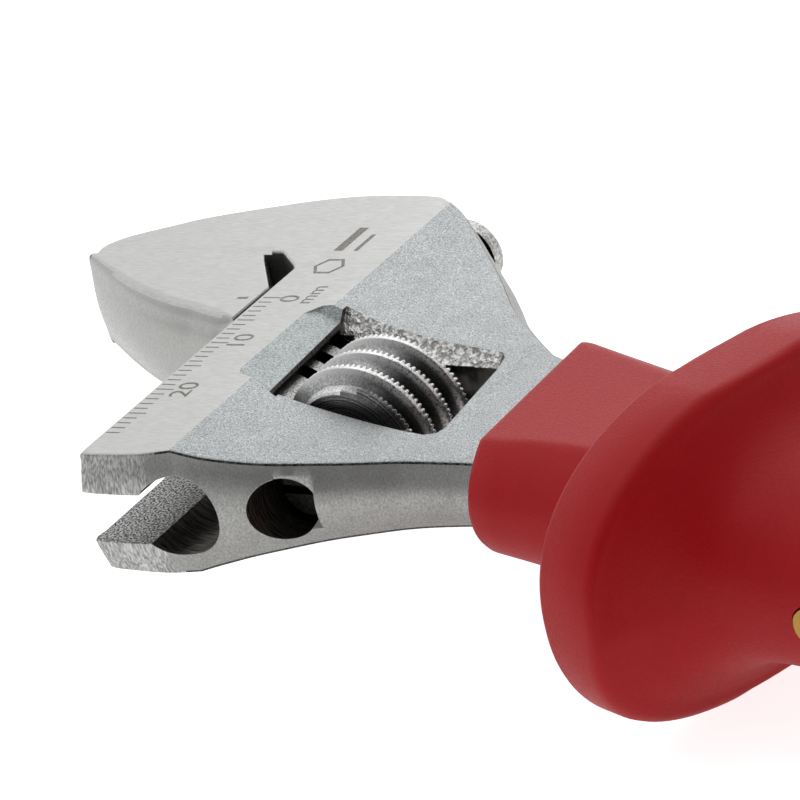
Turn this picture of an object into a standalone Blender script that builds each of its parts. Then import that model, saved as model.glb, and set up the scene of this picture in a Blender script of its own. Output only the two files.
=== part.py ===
"""Insulated adjustable wrench: forged head, sliding jaw with a rack, knurled worm, moulded handle.

Units are metres. The handle runs along X with the jaws towards +X, the jaws open towards +Y,
and Z is the wrench's thickness, with Z = 0 in its middle plane.
"""

import math

import bmesh
import bpy
from mathutils import Matrix, Vector

MM = 0.001

# The head is drawn in its own axes: u runs towards the jaw tips, v is the way the jaw opens,
# and u = v = 0 is where the opening scale starts.
HEAD_TURN = math.radians(20.0)
HEAD_ORIGIN_X = 99.56 * MM
HEAD_ORIGIN_Y = -2.08 * MM
HEAD_HALF_THICKNESS = 6.7 * MM
GROUND_FLAT_END_U = -9.9 * MM
GROUND_TAPER = math.tan(math.radians(2.1))
NECK_HALF_THICKNESS = 3.2 * MM
NECK_FADE_LENGTH = 11.0 * MM
HEAD_SIDE_BULGE = 1.2 * MM
JAW_SIDE_BULGE = 0.9 * MM
GAP = 0.3 * MM

# Handle, by distance s behind the worm's axis along the handle
HANDLE_AXIS_U = -20.4 * MM
HANDLE_AXIS_V = 7.8 * MM
TANG_END_S = 190.0 * MM
HANDLE_END_S = 209.0 * MM
SLEEVE_FRONT_U = -40.1 * MM
GUARD_FRONT_S = 47.4 * MM
GUARD_HALF_WIDTH = 23.6 * MM
GUARD_HALF_THICKNESS = 16.1 * MM

# Jaws, rack channel and worm
JAW_OPENING = 30.0 * MM
FIXED_FACE_V = -10.7 * MM
JAW_BACK_U = 0.3 * MM
CHANNEL_U = -9.7 * MM
CHANNEL_RADIUS = 4.2 * MM
SLOT_HALF_THICKNESS = 2.65 * MM
SLOT_START_V = -6.0 * MM
RACK_START_V = -24.6 * MM
RACK_END_V = 17.6 * MM
RACK_TOOTH_DEPTH = 1.4 * MM
WORM_U = -20.4 * MM
WORM_RADIUS = 8.0 * MM
WORM_ROOT_RADIUS = 6.0 * MM
WORM_START_V = 8.2 * MM
WORM_END_V = 18.2 * MM
WORM_LEAD = 3.175 * MM
WORM_CREST_V = 15.8 * MM
WORM_CREST_WIDTH = 0.9 * MM
WORM_FOOT_WIDTH = 1.4 * MM
RACK_SLOT_WIDTH = 1.85 * MM
PIN_RADIUS = 2.0 * MM
PIN_HEAD_RADIUS = 2.7 * MM
PIN_HOLE_RADIUS = 3.05 * MM
PIN_HEAD_V = 26.5 * MM
PIN_HEAD_LENGTH = 4.5 * MM
PIN_TIP_V = 1.6 * MM

# Grip inlays
INLAY_CENTRE_S = 120.0 * MM
INLAY_HALF_LENGTH = 46.5 * MM
INLAY_HALF_HEIGHT = 5.6 * MM
INLAY_DEPTH = 1.2 * MM
INLAY_PROUD = 0.15 * MM


def clear_scene():
    """Removes every object, so that the script can run again."""
    for item in list(bpy.data.objects):
        bpy.data.objects.remove(item, do_unlink=True)


def principled(name, colour, roughness, metallic):
    """A plain Principled material."""
    material = bpy.data.materials.new(name)
    material.use_nodes = True
    shader = material.node_tree.nodes["Principled BSDF"]
    shader.inputs["Base Color"].default_value = (*colour, 1.0)
    shader.inputs["Roughness"].default_value = roughness
    shader.inputs["Metallic"].default_value = metallic
    return material


def object_from_bmesh(name, shape):
    """Closes a bmesh into an object of that name, with its faces turned outward."""
    bmesh.ops.remove_doubles(shape, verts=shape.verts, dist=0.000002)
    bmesh.ops.recalc_face_normals(shape, faces=shape.faces)
    mesh = bpy.data.meshes.new(name)
    shape.to_mesh(mesh)
    shape.free()
    made = bpy.data.objects.new(name, mesh)
    bpy.context.scene.collection.objects.link(made)
    return made


def combine(target, tool, operation):
    """Joins, cuts or intersects target with tool, and removes the tool."""
    modifier = target.modifiers.new(operation.lower(), "BOOLEAN")
    modifier.operation = operation
    modifier.object = tool
    graph = bpy.context.evaluated_depsgraph_get()
    mesh = bpy.data.meshes.new_from_object(target.evaluated_get(graph))
    target.modifiers.clear()
    target.data = mesh
    bpy.data.objects.remove(tool, do_unlink=True)
    return target


def smooth_run(points, steps=3):
    """A smooth line through the points, with steps stretches between each pair of them."""
    run = []
    last = len(points) - 1
    for i in range(last):
        before = points[max(i - 1, 0)]
        start = points[i]
        end = points[i + 1]
        after = points[min(i + 2, last)]
        for step in range(steps):
            t = step / steps
            point = []
            for a, b, c, d in zip(before, start, end, after):
                bend = (c - a) * t + (2 * a - 5 * b + 4 * c - d) * t**2
                point.append(b + 0.5 * (bend + (3 * b - a - 3 * c + d) * t**3))
            run.append(tuple(point))
    run.append(tuple(points[last]))
    return run


def loft(name, rings):
    """A closed solid through rings with the same number of points each."""
    shape = bmesh.new()
    loops = []
    for ring in rings:
        loops.append([shape.verts.new(point) for point in ring])
    count = len(rings[0])
    for lower, upper in zip(loops, loops[1:]):
        for i in range(count):
            j = (i + 1) % count
            shape.faces.new((lower[i], lower[j], upper[j], upper[i]))
    bmesh.ops.triangulate(shape, faces=shape.faces)
    shape.faces.new(list(reversed(loops[0])))
    shape.faces.new(loops[-1])
    return object_from_bmesh(name, shape)


def prism(name, outline, low, high):
    """An outline in the u-v plane, extruded from z = low to z = high."""
    rings = [[(u, v, z) for u, v in outline] for z in (low, high)]
    return loft(name, rings)


def turned(name, u, profile, segments=32):
    """A round solid about the line at u that runs along v, from (v, radius) pairs."""
    rings = []
    for v, radius in profile:
        ring = []
        for i in range(segments):
            angle = 2 * math.pi * i / segments
            ring.append((u + radius * math.sin(angle), v, radius * math.cos(angle)))
        rings.append(ring)
    return loft(name, rings)


def from_handle(s, y):
    """The head's u and v at a distance s along the handle and y to its side."""
    u = HANDLE_AXIS_U - s * math.cos(HEAD_TURN) + y * math.sin(HEAD_TURN)
    v = HANDLE_AXIS_V + s * math.sin(HEAD_TURN) + y * math.cos(HEAD_TURN)
    return u, v


def half_thickness(u):
    """Half the forging's thickness: ground flats that taper to the jaws, and a thinner neck."""
    if u > GROUND_FLAT_END_U:
        return HEAD_HALF_THICKNESS - GROUND_TAPER * (u - GROUND_FLAT_END_U)
    fade = math.exp((u - GROUND_FLAT_END_U) / NECK_FADE_LENGTH)
    return NECK_HALF_THICKNESS + (HEAD_HALF_THICKNESS - NECK_HALF_THICKNESS) * fade


def envelope(name, grow):
    """The forging's thickness as a solid that reaches past its outline on every side."""
    stations = [32.0, -9.9, -12.0, -14.5, -17.5, -21.0, -25.0, -30.0, -36.0, -45.0, -230.0]
    side = [(u * MM, half_thickness(u * MM) + grow) for u in stations]
    outline = side + [(u, -z) for u, z in reversed(side)]
    rings = [[(u, v, z) for u, z in outline] for v in (-60 * MM, 120 * MM)]
    return loft(name, rings)


def bulged(name, outline, weights, bulge, grow):
    """An outline given at full thickness, with sides that swell by bulge in the middle plane."""
    count = len(outline)
    normals = []
    for i in range(count):
        ahead = Vector(outline[(i + 1) % count])
        behind = Vector(outline[i - 1])
        along = (ahead - behind).normalized()
        normals.append(Vector((along.y, -along.x)))
    rings = []
    for share in (-1.0, -0.8, -0.55, -0.25, 0.25, 0.55, 0.8, 1.0):
        swell = bulge * (1 - share * share)
        ring = []
        for point, weight, normal in zip(outline, weights, normals):
            place = Vector(point) + normal * (swell * weight + grow)
            ring.append((place.x, place.y, share * (HEAD_HALF_THICKNESS + grow)))
        rings.append(ring)
    return loft(name, rings)


def millimetres(points):
    """Pairs in millimetres as pairs in metres."""
    return [(a * MM, b * MM) for a, b in points]


def frame_blank(name, grow):
    """The forging without its channel, window and holes."""
    near_edge = smooth_run(
        millimetres(
            [(0.3, 33.3), (-6.4, 33.1), (-9.9, 32.1), (-15, 31.1), (-23, 28.6), (-31, 26.2), (-40, 25.0)]
        )
    )
    tang = [from_handle(s * MM, y * MM) for s, y in ((34, 7.2), (60, 6.6), (185, 6.2))]
    tang += [from_handle(TANG_END_S, y * MM) for y in (3.5, -3.5)]
    tang += [from_handle(s * MM, -y * MM) for s, y in ((185, 6.2), (60, 6.6), (34, 7.2))]
    shoulder = smooth_run(
        millimetres(
            [(-40.5, 5.6), (-36.2, 3.6), (-32.9, 1.0), (-27.1, -4.4), (-21.8, -10.8), (-16.2, -16.8)]
            + [(-12.2, -20.9), (-8.6, -23.3), (-4.9, -24.1), (0.9, -24.2), (11.4, -21.9)]
            + [(18.8, -19.2), (26.2, -14.8), (27.7, -13.4)]
        )
    )
    face = FIXED_FACE_V / MM
    inner = millimetres([(28.3, -12.4), (28.7, face), (4.2, face), (0.9, -7.6), (0.3, -6.8)])
    outline = near_edge + tang + shoulder + inner
    weights = [0.0] + [1.0] * (len(near_edge) - 1) + [0.0] * len(tang)
    weights += [1.0] * len(shoulder) + [0.5] + [0.0] * (len(inner) - 1)
    blank = bulged(name, outline, weights, HEAD_SIDE_BULGE, grow)
    return combine(blank, envelope("thickness", grow), "INTERSECT")


def worm_window():
    """The opening for the worm, whose far wall slopes away towards both faces."""
    near = [(-11.6, 18.2), (-19.8, 19.2), (-28.4, 20.6), (-31.4, 20.7), (-32.3, 20.2), (-32.6, 19.0)]
    rings = []
    for z, far in ((-9.0, -1.0), (-0.6, 7.7), (0.6, 7.7), (9.0, -1.0)):
        ring = near + [(-31.6, far + 1.6), (-31.0, far), (-11.0, far)]
        rings.append([(u * MM, v * MM, z * MM) for u, v in ring])
    return loft("window", rings)


def worm_pocket(side):
    """The scoop between the ground flat and the worm's window, on one face."""
    low = [(-7.4, 16.2), (-13.4, 18.4), (-13.4, 2.2), (-7.4, 2.2)]
    ring_low = []
    ring_high = []
    for u, v in low:
        depth = 6.62 - 0.32 * (-7.4 - u)
        ring_low.append((u * MM, v * MM, side * depth * MM))
        ring_high.append((u * MM, v * MM, side * 9.0 * MM))
    return loft("pocket", [ring_low, ring_high])


def jaw_face_chamfer(side):
    """The bevel along the fixed jaw's face, on one side."""
    face = FIXED_FACE_V / MM
    ring = [(face + 0.6, 4.4), (face + 0.6, 7.5), (face - 2.6, 7.5), (face - 2.6, 6.7), (face, 5.0)]
    rings = []
    for u, drop in ((32.0, 1.5), (4.2, 0.45)):
        rings.append([(u * MM, v * MM, side * (z - drop) * MM) for v, z in ring])
    return loft("bevel", rings)


def box(name, low, high):
    """A block between two corners, given in millimetres."""
    ring = [(low[0], low[1]), (high[0], low[1]), (high[0], high[1]), (low[0], high[1])]
    return prism(name, millimetres(ring), low[2] * MM, high[2] * MM)


def make_frame():
    """The forged body: fixed jaw, head, neck and the tang inside the handle."""
    frame = frame_blank("frame", 0.0)
    reach = 45 * MM
    bore = [(-reach, CHANNEL_RADIUS), (reach, CHANNEL_RADIUS)]
    combine(frame, turned("channel", CHANNEL_U, bore), "DIFFERENCE")
    slot_half = SLOT_HALF_THICKNESS / MM
    slot_low = (CHANNEL_U / MM, SLOT_START_V / MM, -slot_half)
    combine(frame, box("slot", slot_low, (5.0, 45.0, slot_half)), "DIFFERENCE")
    combine(frame, worm_window(), "DIFFERENCE")
    hole = [(14 * MM, PIN_HOLE_RADIUS), (reach, PIN_HOLE_RADIUS)]
    combine(frame, turned("pin_hole", WORM_U, hole, 24), "DIFFERENCE")
    seat = [(PIN_TIP_V - 1.0 * MM, PIN_RADIUS + GAP), (12 * MM, PIN_RADIUS + GAP)]
    combine(frame, turned("pin_seat", WORM_U, seat, 24), "DIFFERENCE")
    combine(frame, box("stake", (-24.6, 29.0, -4.2), (-20.8, 36.0, 4.2)), "DIFFERENCE")
    for side in (1, -1):
        combine(frame, worm_pocket(side), "DIFFERENCE")
        combine(frame, jaw_face_chamfer(side), "DIFFERENCE")
    return frame


def rack_slot_centres():
    """Where the worm's crests cross the rack, and so where the rack is cut."""
    first = WORM_CREST_V + WORM_LEAD / 4
    centres = []
    v = first
    while v > RACK_START_V + 2.5 * MM:
        centres.append(v)
        v -= WORM_LEAD
    return centres


def make_moving_jaw():
    """The sliding jaw: jaw block, web and round rack rod in one forging."""
    face = FIXED_FACE_V / MM + 0.3
    back = JAW_BACK_U / MM + 0.3
    side = smooth_run(
        millimetres([(29.0, -9.6), (28.1, -8.9), (19.9, -3.1), (13.6, 0.3), (7.7, 2.5)])
        + millimetres([(3.1, 4.1), (back, 4.5)])
    )
    inner = millimetres([(back, -2.6), (6.3, face), (28.7, face)])
    weights = [1.0] * (len(side) - 3) + [0.8, 0.5, 0.0] + [0.0] * len(inner)
    jaw = bulged("moving_jaw", side + inner, weights, JAW_SIDE_BULGE, 0.0)
    combine(jaw, envelope("thickness", 0.0), "INTERSECT")
    half = SLOT_HALF_THICKNESS / MM - 0.3
    web = box("web", (CHANNEL_U / MM - 1.0, SLOT_START_V / MM + 0.5, -half), (4.0, 13.5, half))
    combine(jaw, web, "UNION")
    radius = CHANNEL_RADIUS - GAP
    chamfer = 0.8 * MM
    rod = [(RACK_START_V, radius - chamfer), (RACK_START_V + chamfer, radius)]
    rod += [(RACK_END_V - chamfer, radius), (RACK_END_V, radius - chamfer)]
    combine(jaw, turned("rod", CHANNEL_U, rod), "UNION")
    lead_angle = math.atan(WORM_LEAD / (2 * math.pi * WORM_RADIUS))
    half_slot = RACK_SLOT_WIDTH / 2
    for v in rack_slot_centres():
        low = CHANNEL_U - radius - 1 * MM
        high = CHANNEL_U - radius + RACK_TOOTH_DEPTH
        ring = [(low, -half_slot), (high, -half_slot), (high, half_slot), (low, half_slot)]
        tool = prism("tooth_gap", ring, -6 * MM, 6 * MM)
        turn = Matrix.Rotation(lead_angle, 4, "X")
        tool.data.transform(Matrix.Translation((0, v, 0)) @ turn)
        combine(jaw, tool, "DIFFERENCE")
    return jaw


def thread_radius(v, angle):
    """The worm's radius at v, and at an angle from +Z towards +u."""
    shift = v - WORM_CREST_V - WORM_LEAD * angle / (2 * math.pi)
    offset = abs((shift / WORM_LEAD + 0.5) % 1.0 - 0.5) * WORM_LEAD
    half_crest = WORM_CREST_WIDTH / 2
    half_foot = WORM_FOOT_WIDTH / 2
    rise = min(max((half_foot - offset) / (half_foot - half_crest), 0.0), 1.0)
    return WORM_ROOT_RADIUS + (WORM_RADIUS - WORM_ROOT_RADIUS) * rise


def make_worm():
    """The knurled worm: a right-hand single-start thread with a bore and a spring pocket."""
    segments = 36
    offsets = [-WORM_FOOT_WIDTH / 2, -WORM_CREST_WIDTH / 2, WORM_CREST_WIDTH / 2, WORM_FOOT_WIDTH / 2]
    turns = int((WORM_END_V - WORM_START_V) / WORM_LEAD) + 5
    shape = bmesh.new()
    rings = []
    for i in range(segments):
        angle = 2 * math.pi * i / segments
        ring = []
        for k in range(turns):
            for offset in offsets:
                v = WORM_CREST_V + WORM_LEAD * (k - turns + 2 + i / segments) + offset
                v = min(max(v, WORM_START_V), WORM_END_V)
                r = thread_radius(v, angle)
                ring.append(shape.verts.new((WORM_U + r * math.sin(angle), v, r * math.cos(angle))))
        rings.append(ring)
    columns = turns * len(offsets)
    for i in range(segments):
        shift = len(offsets) if i == segments - 1 else 0
        ahead = rings[(i + 1) % segments]
        for c in range(columns - 1 - shift):
            corners = (rings[i][c], rings[i][c + 1], ahead[c + 1 + shift], ahead[c + shift])
            shape.faces.new(corners)
    bmesh.ops.remove_doubles(shape, verts=shape.verts, dist=0.000002)
    loose = [vert for vert in shape.verts if not vert.link_faces]
    bmesh.ops.delete(shape, geom=loose, context="VERTS")
    bmesh.ops.holes_fill(shape, edges=[edge for edge in shape.edges if edge.is_boundary])
    bmesh.ops.triangulate(shape, faces=shape.faces)
    worm = object_from_bmesh("worm", shape)
    bore = [(WORM_START_V - 2 * MM, PIN_RADIUS + GAP), (WORM_END_V + 2 * MM, PIN_RADIUS + GAP)]
    combine(worm, turned("bore", WORM_U, bore, 24), "DIFFERENCE")
    pocket = [(WORM_START_V - 2 * MM, 3.6 * MM), (WORM_START_V + 5 * MM, 3.6 * MM)]
    combine(worm, turned("spring_pocket", WORM_U, pocket, 24), "DIFFERENCE")
    return worm


def make_worm_pin():
    """The worm's axle, driven in from the side and recessed in its hole."""
    shoulder = PIN_HEAD_V - PIN_HEAD_LENGTH
    profile = [(PIN_TIP_V, PIN_RADIUS - 0.5 * MM), (PIN_TIP_V + 0.5 * MM, PIN_RADIUS)]
    profile += [(shoulder, PIN_RADIUS), (shoulder, PIN_HEAD_RADIUS), (PIN_HEAD_V, PIN_HEAD_RADIUS)]
    pin = turned("worm_pin", WORM_U, profile, 24)
    u = WORM_U / MM
    top = PIN_HEAD_V / MM
    return combine(pin, box("driver_slot", (u - 4, top - 1.2, -0.45), (u + 4, top + 1, 0.45)), "DIFFERENCE")


def make_worm_spring():
    """The short coil spring in the worm's pocket, which takes up the worm's end play."""
    coil_radius = 2.95 * MM
    wire_radius = 0.3 * MM
    turns = 3
    steps = 16 * turns
    start = WORM_START_V + wire_radius + 0.1 * MM
    pitch = 1.35 * MM
    rings = []
    for i in range(steps + 1):
        angle = 2 * math.pi * turns * i / steps
        v = start + pitch * angle / (2 * math.pi)
        out = Vector((math.sin(angle), 0, math.cos(angle)))
        centre = Vector((WORM_U, v, 0)) + out * coil_radius
        ring = []
        for k in range(6):
            around = 2 * math.pi * k / 6
            along = Vector((0, wire_radius * math.sin(around), 0))
            ring.append(centre + out * wire_radius * math.cos(around) + along)
        rings.append(ring)
    return loft("worm_spring", rings)


def section(s, half_width, half_height, squareness, flat, slant=0.0, sag=0.0, count=32):
    """One outline of the handle: a superellipse, cut off flat above and below.

    Slant leans the outline with y, and sag draws its lower half forwards."""
    ring = []
    for i in range(count):
        angle = 2 * math.pi * (i + 0.5) / count
        c = math.cos(angle)
        d = math.sin(angle)
        y = half_width * math.copysign(abs(c) ** (2 / squareness), c)
        z = half_height * math.copysign(abs(d) ** (2 / squareness), d)
        z = min(max(z, -flat), flat)
        u, v = from_handle(s + slant * y + sag * min(z, 0.0), y)
        ring.append((u, v, z))
    return ring


def handle_solid(name, grow):
    """The outside of the whole moulded handle: sleeve, hand guard and grip."""
    slant = math.tan(HEAD_TURN)
    front = (HANDLE_AXIS_U - SLEEVE_FRONT_U) / math.cos(HEAD_TURN) / MM
    guard = GUARD_FRONT_S / MM
    wide = GUARD_HALF_WIDTH / MM
    high = GUARD_HALF_THICKNESS / MM
    end = HANDLE_END_S / MM
    stations = [
        (front, 13.6, 8.3, 2.0, 6.0, slant),
        (front + 0.5, 13.8, 8.4, 2.0, 6.1, slant),
        (33.0, 12.6, 8.2, 2.0, 6.9, slant * 0.35),
        (guard - 2.5, 12.1, 8.65, 2.0, 7.4, 0),
        (guard - 0.4, 12.7, 9.2, 2.0, 8.1, 0),
        (guard, wide - 1.6, high - 1.2, 2.3, 99, 0),
        (guard + 0.5, wide - 0.5, high - 0.3, 2.3, 99, 0),
        (guard + 1.4, wide, high + 0.5, 2.25, high, 0),
        (guard + 6.8, wide, high + 0.5, 2.25, high, 0, 0.24),
        (guard + 7.7, wide - 0.5, high - 0.4, 2.25, 99, 0, 0.24),
        (guard + 8.3, 20.6, 14.2, 2.2, 99, 0, 0.24),
        (guard + 9.4, 17.4, 12.5, 2.2, 99, 0, 0.24),
        (guard + 11, 14.8, 11.2, 2.15, 99, 0, 0.22),
        (guard + 13.5, 13.1, 10.2, 2.15, 99, 0, 0.15),
        (guard + 18, 12.2, 9.5, 2.15, 99, 0, 0.08),
        (guard + 25, 11.8, 9.2, 2.15, 99, 0, 0.02),
        (82, 12.2, 9.6, 2.15, 99, 0),
        (110, 13.5, 10.7, 2.15, 99, 0),
        (150, 14.2, 11.3, 2.15, 99, 0),
        (185, 13.6, 10.8, 2.15, 99, 0),
        (end - 9, 12.9, 10.4, 2.13, 99, 0),
        (end - 4.5, 11.4, 9.0, 2.1, 99, 0),
        (end - 1.7, 8.9, 7.0, 2.05, 99, 0),
        (end, 3.4, 2.8, 2.0, 99, 0),
    ]
    rings = []
    for s, half_width, half_height, squareness, flat, *leans in stations:
        size = (half_width * MM + grow, half_height * MM + grow)
        rings.append(section(s * MM, *size, squareness, flat * MM + grow, *leans))
    return loft(name, rings)


def inner_solid(name, grow):
    """The outside of the inner insulation layer."""
    rings = []
    for s, half_width, half_height in ((36, 8.9, 5.4), (60, 8.5, 5.4), (190, 8.5, 5.4), (197, 7.0, 4.4)):
        size = (half_width * MM + grow, half_height * MM + grow)
        ends = {36: -grow, 197: grow}
        rings.append(section(s * MM + ends.get(s, 0.0), *size, 3.0, 1.0, count=20))
    return loft(name, rings)


def make_inner_insulation():
    """The contrasting first layer, moulded round the tang."""
    layer = inner_solid("inner_insulation", 0.0)
    return combine(layer, frame_blank("tang_space", GAP), "DIFFERENCE")


def inlay_column(side, grow):
    """The oval outline of a grip inlay as a solid that runs out through one side of the grip."""
    count = 28
    rings = []
    for y in (4.0 * MM, 24.0 * MM):
        ring = []
        for i in range(count):
            angle = 2 * math.pi * i / count
            c = math.cos(angle)
            d = math.sin(angle)
            along = (INLAY_HALF_LENGTH + grow) * math.copysign(abs(c) ** 0.8, c)
            up = (INLAY_HALF_HEIGHT + grow) * math.copysign(abs(d) ** 0.8, d)
            u, v = from_handle(INLAY_CENTRE_S + along, side * y)
            ring.append((u, v, up))
        rings.append(ring)
    return loft("inlay_column", rings)


def make_outer_insulation():
    """The red cover: sleeve over the neck, hand guard and grip in one moulding."""
    cover = handle_solid("outer_insulation", 0.0)
    combine(cover, frame_blank("neck_space", GAP), "DIFFERENCE")
    combine(cover, inner_solid("layer_space", GAP), "DIFFERENCE")
    for side in (1, -1):
        recess = inlay_column(side, GAP)
        combine(recess, handle_solid("floor", -INLAY_DEPTH - GAP), "DIFFERENCE")
        combine(cover, recess, "DIFFERENCE")
    return cover


def make_grip_inlay(name, side):
    """A soft contrasting panel let into one side of the grip."""
    inlay = inlay_column(side, 0.0)
    inlay.name = name
    combine(inlay, handle_solid("skin", INLAY_PROUD), "INTERSECT")
    return combine(inlay, handle_solid("floor", -INLAY_DEPTH), "DIFFERENCE")


def finish(item, material, origin_u, origin_v, smooth_angle=30):
    """Gives a piece its material and shading, and its place in the wrench, with its origin on (u, v)."""
    item.data.transform(Matrix.Translation((-origin_u, -origin_v, 0)))
    item.data.materials.clear()
    item.data.materials.append(material)
    item.data.shade_smooth()
    item.data.set_sharp_from_angle(angle=math.radians(smooth_angle))
    turn = Matrix.Rotation(HEAD_TURN, 4, "Z")
    offset = turn @ Vector((origin_u, origin_v, 0))
    item.rotation_euler = (0, 0, HEAD_TURN)
    item.location = offset + Vector((HEAD_ORIGIN_X, HEAD_ORIGIN_Y, 0))


clear_scene()
forged_steel = principled("satin_chrome", (0.60, 0.61, 0.61), 0.38, 1.0)
worm_steel = principled("worm_steel", (0.42, 0.42, 0.42), 0.35, 1.0)
pin_steel = principled("pin_steel", (0.10, 0.10, 0.10), 0.45, 1.0)
red_insulation = principled("red_insulation", (0.42, 0.012, 0.018), 0.45, 0.0)
yellow_insulation = principled("yellow_insulation", (0.78, 0.48, 0.08), 0.5, 0.0)

finish(make_frame(), forged_steel, 0, 0)
finish(make_moving_jaw(), forged_steel, CHANNEL_U, 0)
finish(make_worm(), worm_steel, WORM_U, 0)
finish(make_worm_pin(), pin_steel, WORM_U, 0)
finish(make_worm_spring(), pin_steel, WORM_U, 0)
finish(make_inner_insulation(), yellow_insulation, HANDLE_AXIS_U, HANDLE_AXIS_V)
finish(make_outer_insulation(), red_insulation, HANDLE_AXIS_U, HANDLE_AXIS_V)
finish(make_grip_inlay("grip_inlay_jaw_side", 1), yellow_insulation, HANDLE_AXIS_U, HANDLE_AXIS_V)
finish(make_grip_inlay("grip_inlay_back_side", -1), yellow_insulation, HANDLE_AXIS_U, HANDLE_AXIS_V)
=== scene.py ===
"""Insulated adjustable wrench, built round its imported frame, in metres, with +Z up."""

import math

import bmesh
import bpy
from mathutils import Matrix, Vector


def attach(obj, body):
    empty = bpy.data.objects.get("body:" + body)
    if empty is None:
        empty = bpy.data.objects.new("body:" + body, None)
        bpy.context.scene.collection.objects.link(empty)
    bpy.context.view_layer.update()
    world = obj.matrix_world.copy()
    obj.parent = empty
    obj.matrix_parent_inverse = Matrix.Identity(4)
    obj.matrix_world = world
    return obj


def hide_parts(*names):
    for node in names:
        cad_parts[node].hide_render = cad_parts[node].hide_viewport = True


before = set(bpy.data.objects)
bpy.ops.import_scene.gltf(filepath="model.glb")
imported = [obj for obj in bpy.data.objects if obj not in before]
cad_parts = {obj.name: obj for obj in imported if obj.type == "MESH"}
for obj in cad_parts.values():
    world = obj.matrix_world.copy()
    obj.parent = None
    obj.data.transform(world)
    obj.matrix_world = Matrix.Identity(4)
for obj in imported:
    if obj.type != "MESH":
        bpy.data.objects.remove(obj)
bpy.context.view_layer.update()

# ---------------------------------------------------------------------------------------------
# Forged body: fixed jaw, head and neck in one chrome-vanadium forging, ground flat in front,
# blasted and satin chromed behind, with its channel, window and pin hole machined through. It
# is drawn in the head's millimetres: u to the jaw tips, v the way the jaw opens, z upwards.

HEAD_TURN = math.radians(20.0)
HEAD_PLACE = (99.56, -2.08)
GROUND_END = -9.9
GROUND_HALF = 6.7
NECK_HALF = 3.2
NECK_FADE = 11.0
FIXED_FACE = -10.7
BORE_U = -9.7
CHANNEL_U = BORE_U - 0.15
CHANNEL_RADIUS = 4.25
SLOT_HALF = 2.65
WORM_U = -20.4
PIN_HOLE_U = WORM_U + 0.25
PIN_HOLE_RADIUS = 3.2
PIN_SEAT_RADIUS = 2.3
POCKET_FRONT_U = -7.4
POCKET_FLOOR = 6.62
POCKET_FALL = 0.34
BODY_BULGE = 1.3
BODY_RIM = 0.3
CLEAR_OF_BODY = 45
BROAD_FACE = 15

head_to_row = Matrix.Rotation(HEAD_TURN, 4, "Z")
head_to_row = Matrix.Translation((HEAD_PLACE[0], HEAD_PLACE[1], 0)) @ head_to_row
head_to_row = Matrix.Scale(0.001, 4) @ head_to_row


def half_thickness(u):
    """Half the forging's thickness at u."""
    if u > GROUND_END:
        return GROUND_HALF - math.tan(math.radians(2.1)) * (u - GROUND_END)
    return NECK_HALF + (GROUND_HALF - NECK_HALF) * math.exp((u - GROUND_END) / NECK_FADE)


def smooth_run(points, steps):
    """A smooth line through the points, with steps stretches between each pair of them."""
    run = []
    last = len(points) - 1
    for i in range(last):
        before = points[max(i - 1, 0)]
        start = points[i]
        end = points[i + 1]
        after = points[min(i + 2, last)]
        for step in range(steps):
            t = step / steps
            point = []
            for a, b, c, d in zip(before, start, end, after):
                bend = (c - a) * t + (2 * a - 5 * b + 4 * c - d) * t**2
                point.append(b + 0.5 * (bend + (3 * b - a - 3 * c + d) * t**3))
            run.append(tuple(point))
    run.append(tuple(points[last]))
    return run


def loft(rings):
    """A closed bmesh through rings with the same number of points each."""
    shape = bmesh.new()
    loops = [[shape.verts.new(point) for point in ring] for ring in rings]
    count = len(rings[0])
    for lower, upper in zip(loops, loops[1:]):
        for i in range(count):
            j = (i + 1) % count
            shape.faces.new((lower[i], lower[j], upper[j], upper[i]))
    shape.faces.new(list(reversed(loops[0])))
    shape.faces.new(loops[-1])
    bmesh.ops.recalc_face_normals(shape, faces=shape.faces)
    return shape


def forging(outline, weights, bulge, rim, side_rim=0.0):
    """A block on an outline, with swollen sides, rounded rims and the forging's thickness."""
    rim_height = rim + side_rim
    count = len(outline)
    normals = []
    for i in range(count):
        ahead = (Vector(outline[(i + 1) % count]) - Vector(outline[i])).normalized()
        behind = (Vector(outline[i]) - Vector(outline[i - 1])).normalized()
        along = (ahead + behind).normalized()
        square = max(along.dot(ahead), 0.5)
        normals.append(Vector((along.y, -along.x)) / square)
    codes = [0, 0.2, 0.4, 0.6, 0.8, 1, 1.25, 1.5, 1.75, 2]
    codes = [-code for code in reversed(codes[1:])] + codes
    rings = []
    for code in codes:
        share = min(abs(code), 1.0)
        turn = 1 - math.cos((max(abs(code), 1.0) - 1) * math.pi / 2)
        ring = []
        for point, weight, normal in zip(outline, weights, normals):
            inset = turn * (rim + side_rim * weight)
            place = Vector(point) + normal * (bulge * weight * (1 - share**2) - inset)
            ring.append((place.x, place.y, code))
        rings.append(ring)
    shape = loft(rings)
    cuts = [GROUND_END - step * 0.8 for step in range(50)]
    for u in cuts:
        parts = list(shape.verts) + list(shape.edges) + list(shape.faces)
        bmesh.ops.bisect_plane(
            shape, geom=parts, dist=0.0001, plane_co=(u, 0, 0), plane_no=(1, 0, 0)
        )
    for vert in shape.verts:
        code = vert.co.z
        level = half_thickness(vert.co.x) - rim_height
        height = level * min(abs(code), 1.0)
        if abs(code) > 1:
            height += rim_height * math.sin((abs(code) - 1) * math.pi / 2)
        vert.co.z = math.copysign(height, code)
    shape.normal_update()
    return shape


def solid(name, shape, *materials):
    """An object from a bmesh in the head's millimetres."""
    mesh = bpy.data.meshes.new(name)
    shape.to_mesh(mesh)
    shape.free()
    for material in materials:
        mesh.materials.append(material)
    made = bpy.data.objects.new(name, mesh)
    bpy.context.scene.collection.objects.link(made)
    return made


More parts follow.
